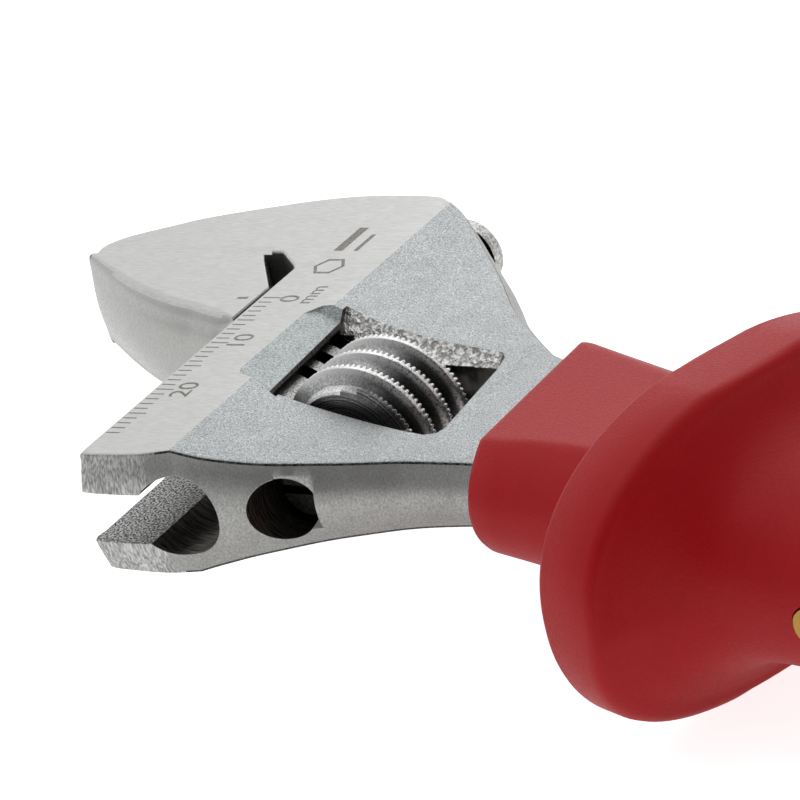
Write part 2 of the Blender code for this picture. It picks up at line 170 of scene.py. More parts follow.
def apply_tool(target, tool, operation):
    """Cuts or joins target with tool, and removes the tool."""
    modifier = target.modifiers.new("tool", "BOOLEAN")
    modifier.operation = operation
    modifier.object = tool
    modifier.solver = "EXACT"
    modifier.material_mode = "TRANSFER"
    graph = bpy.context.evaluated_depsgraph_get()
    mesh = bpy.data.meshes.new_from_object(target.evaluated_get(graph))
    target.modifiers.clear()
    target.data = mesh
    bpy.data.objects.remove(tool, do_unlink=True)


def round_tool(name, u, start, end, radius, material, segments=72):
    """A round bar along v, as a cutter or a rod."""
    shape = bmesh.new()
    bmesh.ops.create_cone(
        shape, cap_ends=True, segments=segments, radius1=radius, radius2=radius, depth=end - start
    )
    bmesh.ops.rotate(shape, verts=shape.verts, matrix=Matrix.Rotation(math.pi / 2, 3, "X"))
    bmesh.ops.translate(shape, verts=shape.verts, vec=(u, (start + end) / 2, 0))
    return solid(name, shape, material)


def block_tool(name, low, high, material):
    """A block between two corners."""
    shape = bmesh.new()
    bmesh.ops.create_cube(shape, size=1.0)
    size = [b - a for a, b in zip(low, high)]
    bmesh.ops.scale(shape, verts=shape.verts, vec=size)
    middle = [(a + b) / 2 for a, b in zip(low, high)]
    bmesh.ops.translate(shape, verts=shape.verts, vec=middle)
    return solid(name, shape, material)


def place(piece, body, smooth_angle=32):
    """Puts a finished piece in its place in the wrench, smooth except on its broad faces."""
    broad = [face.index for face in piece.data.polygons if face.area > BROAD_FACE]
    piece.data.transform(head_to_row)
    piece.data.shade_smooth()
    piece.data.set_sharp_from_angle(angle=math.radians(smooth_angle))
    for index in broad:
        piece.data.polygons[index].use_smooth = False
    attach(piece, body)


def socket(group, name, kind, way, value=None):
    """A named input or output on a shader node group."""
    made = group.interface.new_socket(name=name, in_out=way, socket_type=kind)
    if value is not None:
        made.default_value = value
    return made


def node(tree, kind, **settings):
    """A shader node with its settings."""
    made = tree.nodes.new(kind)
    for key, value in settings.items():
        setattr(made, key, value)
    return made


def head_millimetres():
    """A group that gives the place on the wrench in the head's own millimetres."""
    group = bpy.data.node_groups.new("head_millimetres", "ShaderNodeTree")
    socket(group, "Place", "NodeSocketVector", "OUTPUT")
    coordinates = node(group, "ShaderNodeTexCoord")
    mapping = node(group, "ShaderNodeMapping")
    back = Matrix.Rotation(-HEAD_TURN, 3, "Z") @ Vector((*HEAD_PLACE, 0))
    mapping.inputs["Location"].default_value = -back
    mapping.inputs["Rotation"].default_value = (0, 0, -HEAD_TURN)
    mapping.inputs["Scale"].default_value = (1000, 1000, 1000)
    output = node(group, "NodeGroupOutput")
    group.links.new(coordinates.outputs["Object"], mapping.inputs["Vector"])
    group.links.new(mapping.outputs["Vector"], output.inputs["Place"])
    return group


def grain_group():
    """A group for blasted or ground metal: grains of one size, stretched along one way."""
    group = bpy.data.node_groups.new("metal_grain", "ShaderNodeTree")
    socket(group, "Place", "NodeSocketVector", "INPUT")
    socket(group, "Stretch", "NodeSocketVector", "INPUT", (1, 1, 1))
    socket(group, "Grains per mm", "NodeSocketFloat", "INPUT", 5.0)
    socket(group, "Sharpness", "NodeSocketFloat", "INPUT", 0.5)
    socket(group, "Grain", "NodeSocketFloat", "OUTPUT")
    socket(group, "Cloud", "NodeSocketFloat", "OUTPUT")
    source = node(group, "NodeGroupInput")
    stretched = node(group, "ShaderNodeVectorMath", operation="MULTIPLY")
    fine = node(group, "ShaderNodeTexNoise")
    fine.inputs["Detail"].default_value = 2.0
    wide = node(group, "ShaderNodeTexNoise")
    wide.inputs["Scale"].default_value = 0.35
    wide.inputs["Detail"].default_value = 3.0
    edge = node(group, "ShaderNodeMath", operation="MULTIPLY_ADD")
    edge.inputs[1].default_value = -0.18
    edge.inputs[2].default_value = 0.5
    top = node(group, "ShaderNodeMath", operation="SUBTRACT")
    top.inputs[0].default_value = 1.0
    spread = node(group, "ShaderNodeMapRange")
    output = node(group, "NodeGroupOutput")
    link = group.links.new
    link(source.outputs["Place"], stretched.inputs[0])
    link(source.outputs["Stretch"], stretched.inputs[1])
    link(stretched.outputs["Vector"], fine.inputs["Vector"])
    link(source.outputs["Grains per mm"], fine.inputs["Scale"])
    link(source.outputs["Place"], wide.inputs["Vector"])
    link(source.outputs["Sharpness"], edge.inputs[0])
    link(edge.outputs["Value"], top.inputs[1])
    link(fine.outputs["Fac"], spread.inputs["Value"])
    link(edge.outputs["Value"], spread.inputs["From Min"])
    link(top.outputs["Value"], spread.inputs["From Max"])
    link(spread.outputs["Result"], output.inputs["Grain"])
    link(wide.outputs["Fac"], output.inputs["Cloud"])
    return group


head_place_group = head_millimetres()
metal_grain = grain_group()


def grained_metal(
    name, dark, light, roughness, grains, bump, stretch=(1, 1, 1), sharpness=1.0, cloud=0.06
):
    """Bare or chromed steel: two tones of grain, a slow change of tone, and a fine relief."""
    material = bpy.data.materials.new(name)
    material.use_nodes = True
    tree = material.node_tree
    shader = tree.nodes["Principled BSDF"]
    shader.inputs["Metallic"].default_value = 1.0
    where = node(tree, "ShaderNodeGroup", node_tree=head_place_group)
    grain = node(tree, "ShaderNodeGroup", node_tree=metal_grain)
    grain.inputs["Stretch"].default_value = stretch
    grain.inputs["Grains per mm"].default_value = grains
    grain.inputs["Sharpness"].default_value = sharpness
    tone = node(tree, "ShaderNodeMix", data_type="RGBA")
    tone.inputs["A"].default_value = (*dark, 1.0)
    tone.inputs["B"].default_value = (*light, 1.0)
    shade = node(tree, "ShaderNodeMapRange")
    shade.inputs["From Min"].default_value = 0.3
    shade.inputs["From Max"].default_value = 0.7
    shade.inputs["To Min"].default_value = 1.0 - cloud
    shade.inputs["To Max"].default_value = 1.0 + cloud
    toned = node(tree, "ShaderNodeVectorMath", operation="SCALE")
    rough = node(tree, "ShaderNodeMapRange")
    rough.inputs["To Min"].default_value = roughness + 0.08
    rough.inputs["To Max"].default_value = roughness - 0.04
    rounded = node(tree, "ShaderNodeBevel", samples=6)
    rounded.inputs["Radius"].default_value = 0.00012
    relief = node(tree, "ShaderNodeBump")
    relief.inputs["Strength"].default_value = 1.0
    relief.inputs["Distance"].default_value = bump
    link = tree.links.new
    link(where.outputs["Place"], grain.inputs["Place"])
    link(grain.outputs["Grain"], tone.inputs["Factor"])
    link(grain.outputs["Cloud"], shade.inputs["Value"])
    link(tone.outputs["Result"], toned.inputs[0])
    link(shade.outputs["Result"], toned.inputs["Scale"])
    link(toned.outputs["Vector"], shader.inputs["Base Color"])
    link(grain.outputs["Grain"], rough.inputs["Value"])
    link(rough.outputs["Result"], shader.inputs["Roughness"])
    link(grain.outputs["Grain"], relief.inputs["Height"])
    link(rounded.outputs["Normal"], relief.inputs["Normal"])
    link(relief.outputs["Normal"], shader.inputs["Normal"])
    return material


blasted_chrome = grained_metal(
    "blasted_chrome", (0.30, 0.31, 0.315), (0.63, 0.65, 0.655), 0.46, 6.5, 0.00002
)
ground_chrome = grained_metal(
    "ground_chrome", (0.60, 0.605, 0.59), (0.655, 0.66, 0.645), 0.40, 4.0, 0.000001,
    stretch=(0.2, 2.5, 1.0), sharpness=0.3, cloud=0.02,
)
satin_side = grained_metal(
    "satin_side", (0.37, 0.37, 0.355), (0.53, 0.53, 0.515), 0.40, 6.5, 0.000006,
    stretch=(1, 1, 0.6), sharpness=0.8, cloud=0.06,
)
ground_corner = grained_metal(
    "ground_corner", (0.30, 0.30, 0.29), (0.76, 0.76, 0.75), 0.36, 3.5, 0.00001,
    stretch=(1.6, 1.6, 0.12), sharpness=0.9, cloud=0.1,
)
# Painted reflection: near-black steel on the rounded rims of the neck, standing in for the dark
# room those rims reflect.
painted_rim_reflection = grained_metal(
    "painted_rim_reflection", (0.012, 0.012, 0.012), (0.17, 0.17, 0.165), 0.40, 3.0, 0.00003
)
pocket_chrome = grained_metal(
    "pocket_chrome", (0.29, 0.315, 0.318), (0.54, 0.58, 0.582), 0.40, 5.0, 0.00004
)
# Painted light: grained steel for the window's walls, its light tone raised almost to white against
# the shade the walls stand in.
window_steel_painted_light = grained_metal(
    "window_steel_painted_light", (0.36, 0.35, 0.34), (0.98, 0.98, 0.97), 0.36, 2.1, 0.00012, (1, 1, 0.8), 0.8
)
slot_steel = grained_metal(
    "slot_steel", (0.03, 0.03, 0.03), (0.56, 0.56, 0.55), 0.42, 4.5, 0.00002, (1, 1, 1), 0.5
)
# Bare bored steel, its tones painted dark as shade in the bores, the relief under the pocket and
# the window's deep faces.
bore_steel_painted_shade = grained_metal(
    "bore_steel_painted_shade", (0.05, 0.048, 0.044), (0.34, 0.32, 0.29), 0.36, 3.0, 0.00003, (0.15, 2.0, 0.15)
)
bevel_chrome = grained_metal(
    "bevel_chrome", (0.70, 0.70, 0.69), (0.76, 0.76, 0.75), 0.36, 4.0, 0.000001,
    stretch=(0.2, 2.5, 1.0), sharpness=0.3, cloud=0.02,
)

near_edge = [(0.1, 32.4)] + smooth_run([(0.0, 33.25), (-1.5, 33.4), (-6.4, 33.1), (-9.9, 32.1)], 4)
near_edge = near_edge[:-1] + smooth_run(
    [(-9.9, 32.1), (-13, 31.6), (-15, 31.1), (-19, 30.0), (-23, 28.6), (-27, 27.4)]
    + [(-31, 26.2), (-35, 25.5), (-40, 25.0), (-46, 24.9)],
    4,
)
tang = [(-60, 26.0), (-60, 18.5), (-52, 9.5), (-46, 5.8)]
shoulder = smooth_run(
    [(-41, 5.4), (-36.2, 3.6), (-32.9, 1.0), (-27.1, -4.4), (-21.8, -10.8), (-16.2, -16.8)]
    + [(-12.2, -20.9), (-9.4, -22.7), (-7.8, -23.7), (-4.9, -24.1), (0.9, -24.2), (6.3, -23.4)]
    + [(11.4, -21.9), (18.8, -19.2), (23.0, -16.8), (26.2, -14.8), (27.7, -13.4)],
    4,
)
throat = [(28.3, -12.4), (28.7, FIXED_FACE), (4.2, FIXED_FACE), (0.9, -7.6), (0.3, -6.8)]
body_outline = near_edge + tang + shoulder + throat
body_weights = [0.0, 0.3] + [1.0] * (len(near_edge) - 2) + [0.0] * len(tang)
body_weights += [1.0] * len(shoulder) + [0.6] + [0.0] * (len(throat) - 1)
body_shape = forging(body_outline, body_weights, BODY_BULGE, BODY_RIM)
# Rounded rim faces behind the ground flat get the painted dark reflection; those further forward
# get the ground corner finish.
for face in body_shape.faces:
    centre = face.calc_center_median()
    upright = abs(face.normal.z)
    face.material_index = 2
    if 0.15 < upright < 0.75 and abs(centre.z) > half_thickness(centre.x) - BODY_RIM + 0.01:
        face.material_index = 4 if centre.x < -8 else 3
    if centre.x > -7.5 and centre.y > 25 and upright < 0.75:
        face.material_index = 3
    if upright > 0.75:
        face.material_index = 0
    if upright > 0.75 and centre.x > GROUND_END:
        face.material_index = 1
wrench_body = solid(
    "wrench_body", body_shape, blasted_chrome, ground_chrome, satin_side, ground_corner, painted_rim_reflection
)

window_near = [(-11.6, 18.2), (-19.8, 19.2), (-28.4, 20.6), (-31.2, 20.9)]
window_near += [(-32.3, 20.3), (-32.6, 19.3)]
window_rings = []
window_far = [(2.35, 3.4), (2.6, 5.4), (3.5, 4.2), (9.0, -1.0)]
for z, far in [(-z, far) for z, far in reversed(window_far)] + window_far:
    ring = window_near + [(-31.7, far + 3.4), (-31.2, far + 1.0), (-30.4, far), (-11.0, far - 0.6)]
    window_rings.append([(u, v, z) for u, v in ring])
window_shape = loft(window_rings)
# The window's deeper faces take the painted-shade steel; the others take the steel painted lighter.
for face in window_shape.faces:
    centre = face.calc_center_median()
    deep_painted_shade = centre.x > -12.5 or centre.x < -30 or abs(centre.z) < 2.6 or centre.y > 17
    face.material_index = 1 if deep_painted_shade else 0
apply_tool(wrench_body, solid("window_tool", window_shape, window_steel_painted_light, bore_steel_painted_shade), "DIFFERENCE")
# The relief under the pocket's edge leaves a real gap, and its walls take the painted-shade steel.
relief_tool = block_tool("relief_tool", (-12.6, 3.0, -4.75), (-9, 17.6, 4.75), bore_steel_painted_shade)
apply_tool(wrench_body, relief_tool, "DIFFERENCE")

# The shallow pocket in each face slopes from the ground flat down to the window's front edge.
for side in (1, -1):
    low = []
    high = []
    for u, v, slope in (
        (POCKET_FRONT_U, 15.4, 0.5),
        (-7.9, 16.2, 0.5),
        (-13.6, 18.9, 0.0),
        (-13.6, 3.25, -4.25),
        (-8.7, 2.1, -2.6),
        (POCKET_FRONT_U, 3.4, -2.6),
    ):
        floor = POCKET_FLOOR - POCKET_FALL * (POCKET_FRONT_U - u)
        low.append((u, v, side * floor))
        high.append((u, v + slope, side * 9.0))
    apply_tool(wrench_body, solid("pocket_tool", loft([low, high]), pocket_chrome), "DIFFERENCE")

bore_tool = round_tool(
    "bore_tool", CHANNEL_U, -CLEAR_OF_BODY, CLEAR_OF_BODY, CHANNEL_RADIUS, bore_steel_painted_shade
)
apply_tool(wrench_body, bore_tool, "DIFFERENCE")
slot_end = (5, CLEAR_OF_BODY, SLOT_HALF)
slot_tool = block_tool("slot_tool", (BORE_U, -6, -SLOT_HALF), slot_end, slot_steel)
apply_tool(wrench_body, slot_tool, "DIFFERENCE")
pin_tool = round_tool("pin_tool", PIN_HOLE_U, 14, CLEAR_OF_BODY, PIN_HOLE_RADIUS, bore_steel_painted_shade)
apply_tool(wrench_body, pin_tool, "DIFFERENCE")
seat_tool = round_tool("seat_tool", WORM_U, 0.6, 14.2, PIN_SEAT_RADIUS, bore_steel_painted_shade)
apply_tool(wrench_body, seat_tool, "DIFFERENCE")

# The small flat beside the pin hole, where the body is staked over its pin.
stake_floor = 29.2
stake_rings = []
for z, deep in ((-4.4, 1.6), (-1.4, 0.0), (4.2, 0.0)):
    ring = []
    for u, out in ((-23.5, 0), (-19.8, 0), (-19.8, 6), (-23.5, 6)):
        base = stake_floor + 0.35 * (u + 22.6)
        ring.append((u, base + (out if out else deep), z))
    stake_rings.append(ring)
apply_tool(wrench_body, solid("stake_tool", loft(stake_rings), satin_side), "DIFFERENCE")

for side in (1, -1):
    rings = []
    for u, drop in ((32.0, 1.55), (5.6, 0.5)):
        ring = []
        for v, z in ((-10.1, 4.6), (-10.1, 7.6), (-12.4, 7.6), (-11.9, 6.72), (-10.7, 6.2)):
            ring.append((u, v, side * (z - drop)))
        rings.append(ring)
    apply_tool(wrench_body, solid("bevel_tool", loft(rings), bevel_chrome), "DIFFERENCE")

place(wrench_body, "frame")
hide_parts("frame")

# ---------------------------------------------------------------------------------------------
# Opening scale: thin laser marks burnt into the ground face beside the slot, a tick every
# millimetre with longer ones at fives, two figures, and a plain nut-shaped mark on the far side.

laser_mark = grained_metal(
    "laser_mark", (0.20, 0.185, 0.17), (0.38, 0.36, 0.335), 0.55, 5.0, 0.000004
)


def mark_block(shape, u0, u1, v0, v1):
    """Adds one burnt stroke between two corners, lying on the ground face."""
    made = bmesh.ops.create_cube(shape, size=1.0)
    size = (u1 - u0, v1 - v0, 0.03)
    bmesh.ops.scale(shape, verts=made["verts"], vec=size)
    middle = ((u0 + u1) / 2, (v0 + v1) / 2, 0)
    bmesh.ops.translate(shape, verts=made["verts"], vec=middle)


def lay_on_face(shape, lift=-0.006):
    """Lays flat marks on the upper ground face, just proud of it."""
    for vert in shape.verts:
        vert.co.z += half_thickness(vert.co.x) + lift


ticks = bmesh.new()
for tick in range(30):
    length = 2.1 if tick % 5 == 0 else 1.6
    mark_block(ticks, -0.3 - length, -0.3, tick - 0.09, tick + 0.09)
NUT_PLACE = (-3.9, -7.2)
for side in range(6):
    corners = []
    for corner, radius in ((side, 1.9), (side + 1, 1.9), (side + 1, 1.5), (side, 1.5)):
        turn = corner * math.pi / 3
        corner_u = NUT_PLACE[0] + radius * math.cos(turn)
        corner_v = NUT_PLACE[1] + radius * math.sin(turn)
        corners.append((corner_u, corner_v))
    low = [ticks.verts.new((u, v, -0.015)) for u, v in corners]
    high = [ticks.verts.new((u, v, 0.015)) for u, v in corners]
    ticks.faces.new(low)
    ticks.faces.new(high)
    for k in range(4):
        ticks.faces.new((low[k], low[(k + 1) % 4], high[(k + 1) % 4], high[k]))
mark_block(ticks, -3.3, -2.2, -16.2, -10.8)
mark_block(ticks, -5.2, -4.7, -14.6, -10.8)
lay_on_face(ticks)
bmesh.ops.recalc_face_normals(ticks, faces=ticks.faces)
scale_ticks = solid("scale_ticks", ticks, laser_mark)
place(scale_ticks, "frame")

for label, text, u, v, height in (
    ("figure_0", "0", -3.8, 0.2, 2.3),
    ("figure_10", "10", -3.7, 9.6, 2.3),
    ("figure_20", "20", -3.8, 20.0, 2.3),
    ("unit_mm", "mm", -5.9, -0.7, 1.9),
):
    writing = bpy.data.curves.new(label, "FONT")
    writing.body = text
    writing.size = height * 1.4
    writing.extrude = 0.015
    writing.align_x = "CENTER"
    writing.align_y = "CENTER"
    holder = bpy.data.objects.new(label + "_text", writing)
    bpy.context.scene.collection.objects.link(holder)
    graph = bpy.context.evaluated_depsgraph_get()
    letters = bpy.data.meshes.new_from_object(holder.evaluated_get(graph))
    bpy.data.objects.remove(holder, do_unlink=True)
    shape = bmesh.new()
    shape.from_mesh(letters)
    bmesh.ops.rotate(shape, verts=shape.verts, matrix=Matrix.Rotation(-math.pi / 2, 3, "Z"))
    bmesh.ops.translate(shape, verts=shape.verts, vec=(u, v, 0))
    lay_on_face(shape)
    bmesh.ops.remove_doubles(shape, verts=shape.verts, dist=0.0001)
    bmesh.ops.recalc_face_normals(shape, faces=shape.faces)
    figure = solid(label, shape, laser_mark)
    place(figure, "frame")

# ---------------------------------------------------------------------------------------------
# Sliding jaw: jaw block, web and round rack rod in one forging. The jaw is ground flat on its
# two faces and polished round its cheek; the rack is cut across the rod at the worm's angle.

JAW_FACE = -10.4
JAW_BACK = 0.6
ROD_RADIUS = 3.9
ROD_START = -24.6
ROD_END = 17.6
WORM_LEAD = 3.175
WORM_CREST_V = 15.8
RACK_SLOT_WIDTH = 1.7
RACK_PITCH_RADIUS = 8.0
TOOTH_DEPTH = 3.5
JAW_BULGE = 1.1
JAW_RIM = 0.2
CHEEK_RIM = 1.2

polished_cheek = grained_metal(
    "polished_cheek", (0.47, 0.47, 0.455), (0.48, 0.48, 0.465), 0.24, 3.0, 0.0, (1, 1, 1), 0.3, 0.02
)
rack_steel = grained_metal("rack_steel", (0.30, 0.30, 0.29), (0.80, 0.80, 0.78), 0.36, 4.0, 0.00003)
# Painted shade: the faces cut between the rack's teeth are painted near black.
rack_gap_painted_shade = grained_metal("rack_gap_painted_shade", (0.01, 0.01, 0.01), (0.08, 0.08, 0.075), 0.40, 4.0, 0.00003)

jaw_side = smooth_run(
    [(29.0, -9.6), (28.1, -8.9), (24.2, -6.0), (19.9, -3.1), (16.8, -1.3), (13.6, 0.3)]
    + [(10.7, 1.5), (7.7, 2.5), (5.4, 3.4), (3.1, 4.2), (JAW_BACK, 4.6)],
    5,
)
jaw_inner = [(JAW_BACK, -2.6), (6.3, JAW_FACE), (28.7, JAW_FACE)]
tip_weights = [1 - 0.92 * (1 - i / 24) ** 2 for i in range(24)]
back_weights = [0.9, 0.75, 0.6, 0.4, 0.2, 0.0]
full_weights = [1.0] * (len(jaw_side) - len(tip_weights) - len(back_weights))
jaw_weights = tip_weights + full_weights + back_weights + [0.0] * len(jaw_inner)
jaw_shape = forging(jaw_side + jaw_inner, jaw_weights, JAW_BULGE, JAW_RIM, CHEEK_RIM)
for face in jaw_shape.faces:
    face.material_index = 0 if abs(face.normal.z) > 0.75 else 1
jaw = solid("sliding_jaw", jaw_shape, ground_chrome, polished_cheek)
web_half = SLOT_HALF - 0.3
web = block_tool("web", (BORE_U - 1, -5.5, -web_half), (3.5, 13.5, web_half), rack_steel)
apply_tool(jaw, web, "UNION")
rod_shape = bmesh.new()
rod_length = ROD_END - ROD_START
bmesh.ops.create_cone(
    rod_shape, cap_ends=True, segments=72, radius1=ROD_RADIUS, radius2=ROD_RADIUS, depth=rod_length
)
end_edges = []
for edge in rod_shape.edges:
    if abs(edge.verts[0].co.z - edge.verts[1].co.z) < 0.01:
        end_edges.append(edge)
bmesh.ops.bevel(
    rod_shape, geom=end_edges, offset=0.8, affect="EDGES", segments=3, profile=0.5, material=-1
)
bmesh.ops.rotate(rod_shape, verts=rod_shape.verts, matrix=Matrix.Rotation(math.pi / 2, 3, "X"))
bmesh.ops.translate(rod_shape, verts=rod_shape.verts, vec=(BORE_U, (ROD_START + ROD_END) / 2, 0))
apply_tool(jaw, solid("rod", rod_shape, rack_steel), "UNION")
lead_angle = math.atan(WORM_LEAD / (2 * math.pi * RACK_PITCH_RADIUS))
gap_v = WORM_CREST_V - WORM_LEAD * 1.75
while gap_v > ROD_START + 2.5:
    shape = bmesh.new()
    bmesh.ops.create_cube(shape, size=1.0)
    bmesh.ops.scale(shape, verts=shape.verts, vec=(6.0, RACK_SLOT_WIDTH, 12.0))
    bmesh.ops.rotate(shape, verts=shape.verts, matrix=Matrix.Rotation(lead_angle, 3, "X"))
    middle_u = BORE_U - ROD_RADIUS + TOOTH_DEPTH - 3.0
    bmesh.ops.translate(shape, verts=shape.verts, vec=(middle_u, gap_v, 0))
    apply_tool(jaw, solid("gap_tool", shape, rack_gap_painted_shade), "DIFFERENCE")
    gap_v -= WORM_LEAD
place(jaw, "jaw")
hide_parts("moving_jaw")

index_shape = bmesh.new()
mark_block(index_shape, 1.6, 2.9, -0.1, 0.3)
lay_on_face(index_shape)
jaw_index = solid("jaw_index_mark", index_shape, laser_mark)
place(jaw_index, "jaw")

# ---------------------------------------------------------------------------------------------
# Worm: a turned single-start screw, its crests cut across with a straight knurl for the thumb.
# It has a bore for its pin and a pocket for the spring in its far end.

WORM_RADIUS = 7.8
WORM_ROOT = 6.3
WORM_START = 8.2
WORM_END = 18.2
KNURLS = 80
KNURL_DEPTH = 0.36
SPRING_POCKET_RADIUS = 3.6
SAMPLES = 8


def worm_metal():
    """Crests with a painted speckled highlight, flanks with painted shade to the handle side, a
    turned end face painted lighter.
    """
    material = grained_metal(
        "worm_metal", (0.30, 0.30, 0.305), (0.48, 0.48, 0.485), 0.36, 5.0, 0.000006, sharpness=0.6
    )
    tree = material.node_tree
    shader = tree.nodes["Principled BSDF"]
    where = node(tree, "ShaderNodeGroup", node_tree=head_place_group)
    from_axis = node(tree, "ShaderNodeVectorMath", operation="ADD")
    from_axis.inputs[1].default_value = (-WORM_U, 0, 0)
    across = node(tree, "ShaderNodeVectorMath", operation="MULTIPLY")
    across.inputs[1].default_value = (1, 0, 1)
    radius = node(tree, "ShaderNodeVectorMath", operation="LENGTH")
    # Painted highlight: crests near the outer radius get a pale speckle, mixed in below.
    crest_highlight_mask = node(tree, "ShaderNodeMapRange")
    crest_highlight_mask.inputs["From Min"].default_value = WORM_RADIUS - 0.7
    crest_highlight_mask.inputs["From Max"].default_value = WORM_RADIUS - 0.3
    parts = node(tree, "ShaderNodeSeparateXYZ")
    # Painted light and shade: the flanks darken towards the handle side and lighten away from it.
    side = node(tree, "ShaderNodeMapRange")
    side.inputs["From Min"].default_value = -4.5
    side.inputs["From Max"].default_value = 0.0
    side.inputs["To Min"].default_value = 0.25
    side.inputs["To Max"].default_value = 2.0
    turned = node(tree, "ShaderNodeTexNoise", noise_dimensions="1D")
    turned.inputs["Scale"].default_value = 5.0
    rings = node(tree, "ShaderNodeMapRange")
    rings.inputs["From Min"].default_value = 0.35
    rings.inputs["From Max"].default_value = 0.65
    rings.inputs["To Min"].default_value = 0.5
    rings.inputs["To Max"].default_value = 1.8
    shaded = node(tree, "ShaderNodeVectorMath", operation="SCALE")
    ringed_painted_light = node(tree, "ShaderNodeVectorMath", operation="SCALE")
    # The end face takes the turned rings, with painted light that lifts it out of its shade.
    end_face = node(tree, "ShaderNodeMapRange")
    end_face.inputs["From Min"].default_value = WORM_END - 0.4
    end_face.inputs["From Max"].default_value = WORM_END - 0.2
    face_tone = node(tree, "ShaderNodeMix", data_type="RGBA")
    painted_highlight = node(tree, "ShaderNodeMix", data_type="RGBA")
    painted_highlight.inputs["B"].default_value = (0.80, 0.80, 0.79, 1.0)
    speckle = node(tree, "ShaderNodeTexNoise")
    speckle.inputs["Scale"].default_value = 4.5
    speckle.inputs["Detail"].default_value = 2.0
    spread = node(tree, "ShaderNodeMapRange")
    spread.inputs["From Min"].default_value = 0.34
    spread.inputs["From Max"].default_value = 0.50
    spread.inputs["To Min"].default_value = 0.2
    both = node(tree, "ShaderNodeMath", operation="MULTIPLY")
    link = tree.links.new
    before = shader.inputs["Base Color"].links[0].from_socket
    link(where.outputs["Place"], from_axis.inputs[0])
    link(from_axis.outputs["Vector"], across.inputs[0])
    link(across.outputs["Vector"], radius.inputs[0])
    link(radius.outputs["Value"], crest_highlight_mask.inputs["Value"])
    link(where.outputs["Place"], speckle.inputs["Vector"])
    link(speckle.outputs["Fac"], spread.inputs["Value"])
    link(spread.outputs["Result"], both.inputs[0])
    link(crest_highlight_mask.outputs["Result"], both.inputs[1])
    link(both.outputs["Value"], painted_highlight.inputs["Factor"])
    link(from_axis.outputs["Vector"], parts.inputs["Vector"])
    link(parts.outputs["X"], side.inputs["Value"])
    link(before, shaded.inputs[0])
    link(side.outputs["Result"], shaded.inputs["Scale"])
    link(radius.outputs["Value"], turned.inputs["W"])
    link(turned.outputs["Fac"], rings.inputs["Value"])
    link(before, ringed_painted_light.inputs[0])
    link(rings.outputs["Result"], ringed_painted_light.inputs["Scale"])
    link(parts.outputs["Y"], end_face.inputs["Value"])
    link(end_face.outputs["Result"], face_tone.inputs["Factor"])
    link(shaded.outputs["Vector"], face_tone.inputs["A"])
    link(ringed_painted_light.outputs["Vector"], face_tone.inputs["B"])
    link(face_tone.outputs["Result"], painted_highlight.inputs["A"])
    link(painted_highlight.outputs["Result"], shader.inputs["Base Color"])
    return material


def worm_shape():
    """The thread as a helical band, with its ends cut square and its crests knurled."""
    around = KNURLS * SAMPLES
    band = [(-0.75, 0.0, 0.0), (-0.60, 0.6, 0.0), (-0.50, 0.93, 1.0), (-0.42, 1.0, 1.0)]
    band += [(-0.15, 1.0, 0.55), (0.05, 1.0, 0.0), (0.42, 1.0, 0.0), (0.48, 0.96, 0.0)]
    band += [(0.85, 0.45, 0.0), (1.15, 0.0, 0.0)]
    turns = int((WORM_END - WORM_START) / WORM_LEAD) + 4
    shape = bmesh.new()
    rings = []
    for i in range(around):
        angle = 2 * math.pi * i / around
        phase = (i % SAMPLES) / SAMPLES
        notch = max(0.0, 1 - abs(phase - 0.5) / 0.32)
        ring = []
        for k in range(turns):
            for offset, height, bite in band:
                v = WORM_CREST_V + WORM_LEAD * (k - turns + 3 + i / around) + offset
                end_gap = min(v - WORM_START, WORM_END - v)
                clipped = min(max(v, WORM_START), WORM_END)
                r = WORM_ROOT + (WORM_RADIUS - WORM_ROOT) * height
                r -= KNURL_DEPTH * notch * bite
                if end_gap < 0:
                    r = WORM_ROOT - 0.4
                place_on_worm = (WORM_U + r * math.sin(angle), clipped, r * math.cos(angle))
                ring.append(shape.verts.new(place_on_worm))
        rings.append(ring)
    columns = turns * len(band)
    for i in range(around):
        shift = len(band) if i == around - 1 else 0
        ahead = rings[(i + 1) % around]
        for c in range(columns - 1 - shift):
            corners = (rings[i][c], rings[i][c + 1], ahead[c + 1 + shift], ahead[c + shift])
            shape.faces.new(corners)
    bmesh.ops.remove_doubles(shape, verts=shape.verts, dist=0.001)
    loose = [vert for vert in shape.verts if not vert.link_faces]
    bmesh.ops.delete(shape, geom=loose, context="VERTS")
    bmesh.ops.holes_fill(shape, edges=[edge for edge in shape.edges if edge.is_boundary])
    bmesh.ops.recalc_face_normals(shape, faces=shape.faces)
    return shape


worm_finish = worm_metal()
worm = solid("knurled_worm", worm_shape(), worm_finish)
for name, end, radius in (
    ("worm_bore", WORM_END + 2, PIN_SEAT_RADIUS),
    ("worm_pocket", WORM_START + 5, SPRING_POCKET_RADIUS),
):
    bore_tool = round_tool(name, WORM_U, WORM_START - 2, end, radius, worm_finish, 48)
    apply_tool(worm, bore_tool, "DIFFERENCE")
place(worm, "worm", 28)
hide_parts("worm")

# ---------------------------------------------------------------------------------------------
# Worm pin and spring: a dark oiled steel axle sunk in its hole, with a driver slot, and the
# small coil that takes up the worm's end play.

oiled_steel = grained_metal(
    "oiled_steel", (0.03, 0.03, 0.03), (0.12, 0.12, 0.115), 0.38, 5.0, 0.00001
)
for name in ("worm_pin", "worm_spring"):
    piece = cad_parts[name]
    piece.data.materials.clear()
    piece.data.materials.append(oiled_steel)

# ---------------------------------------------------------------------------------------------
# Red insulation: one moulding with the slab-sided sleeve over the neck, the hand guard and the
# grip. It is a tough satin plastic with a very fine grain from the mould.

AXIS_U = WORM_U
AXIS_V = 7.8
SLEEVE_FRONT_U = -40.1
AROUND = 128
UNCUT = 99


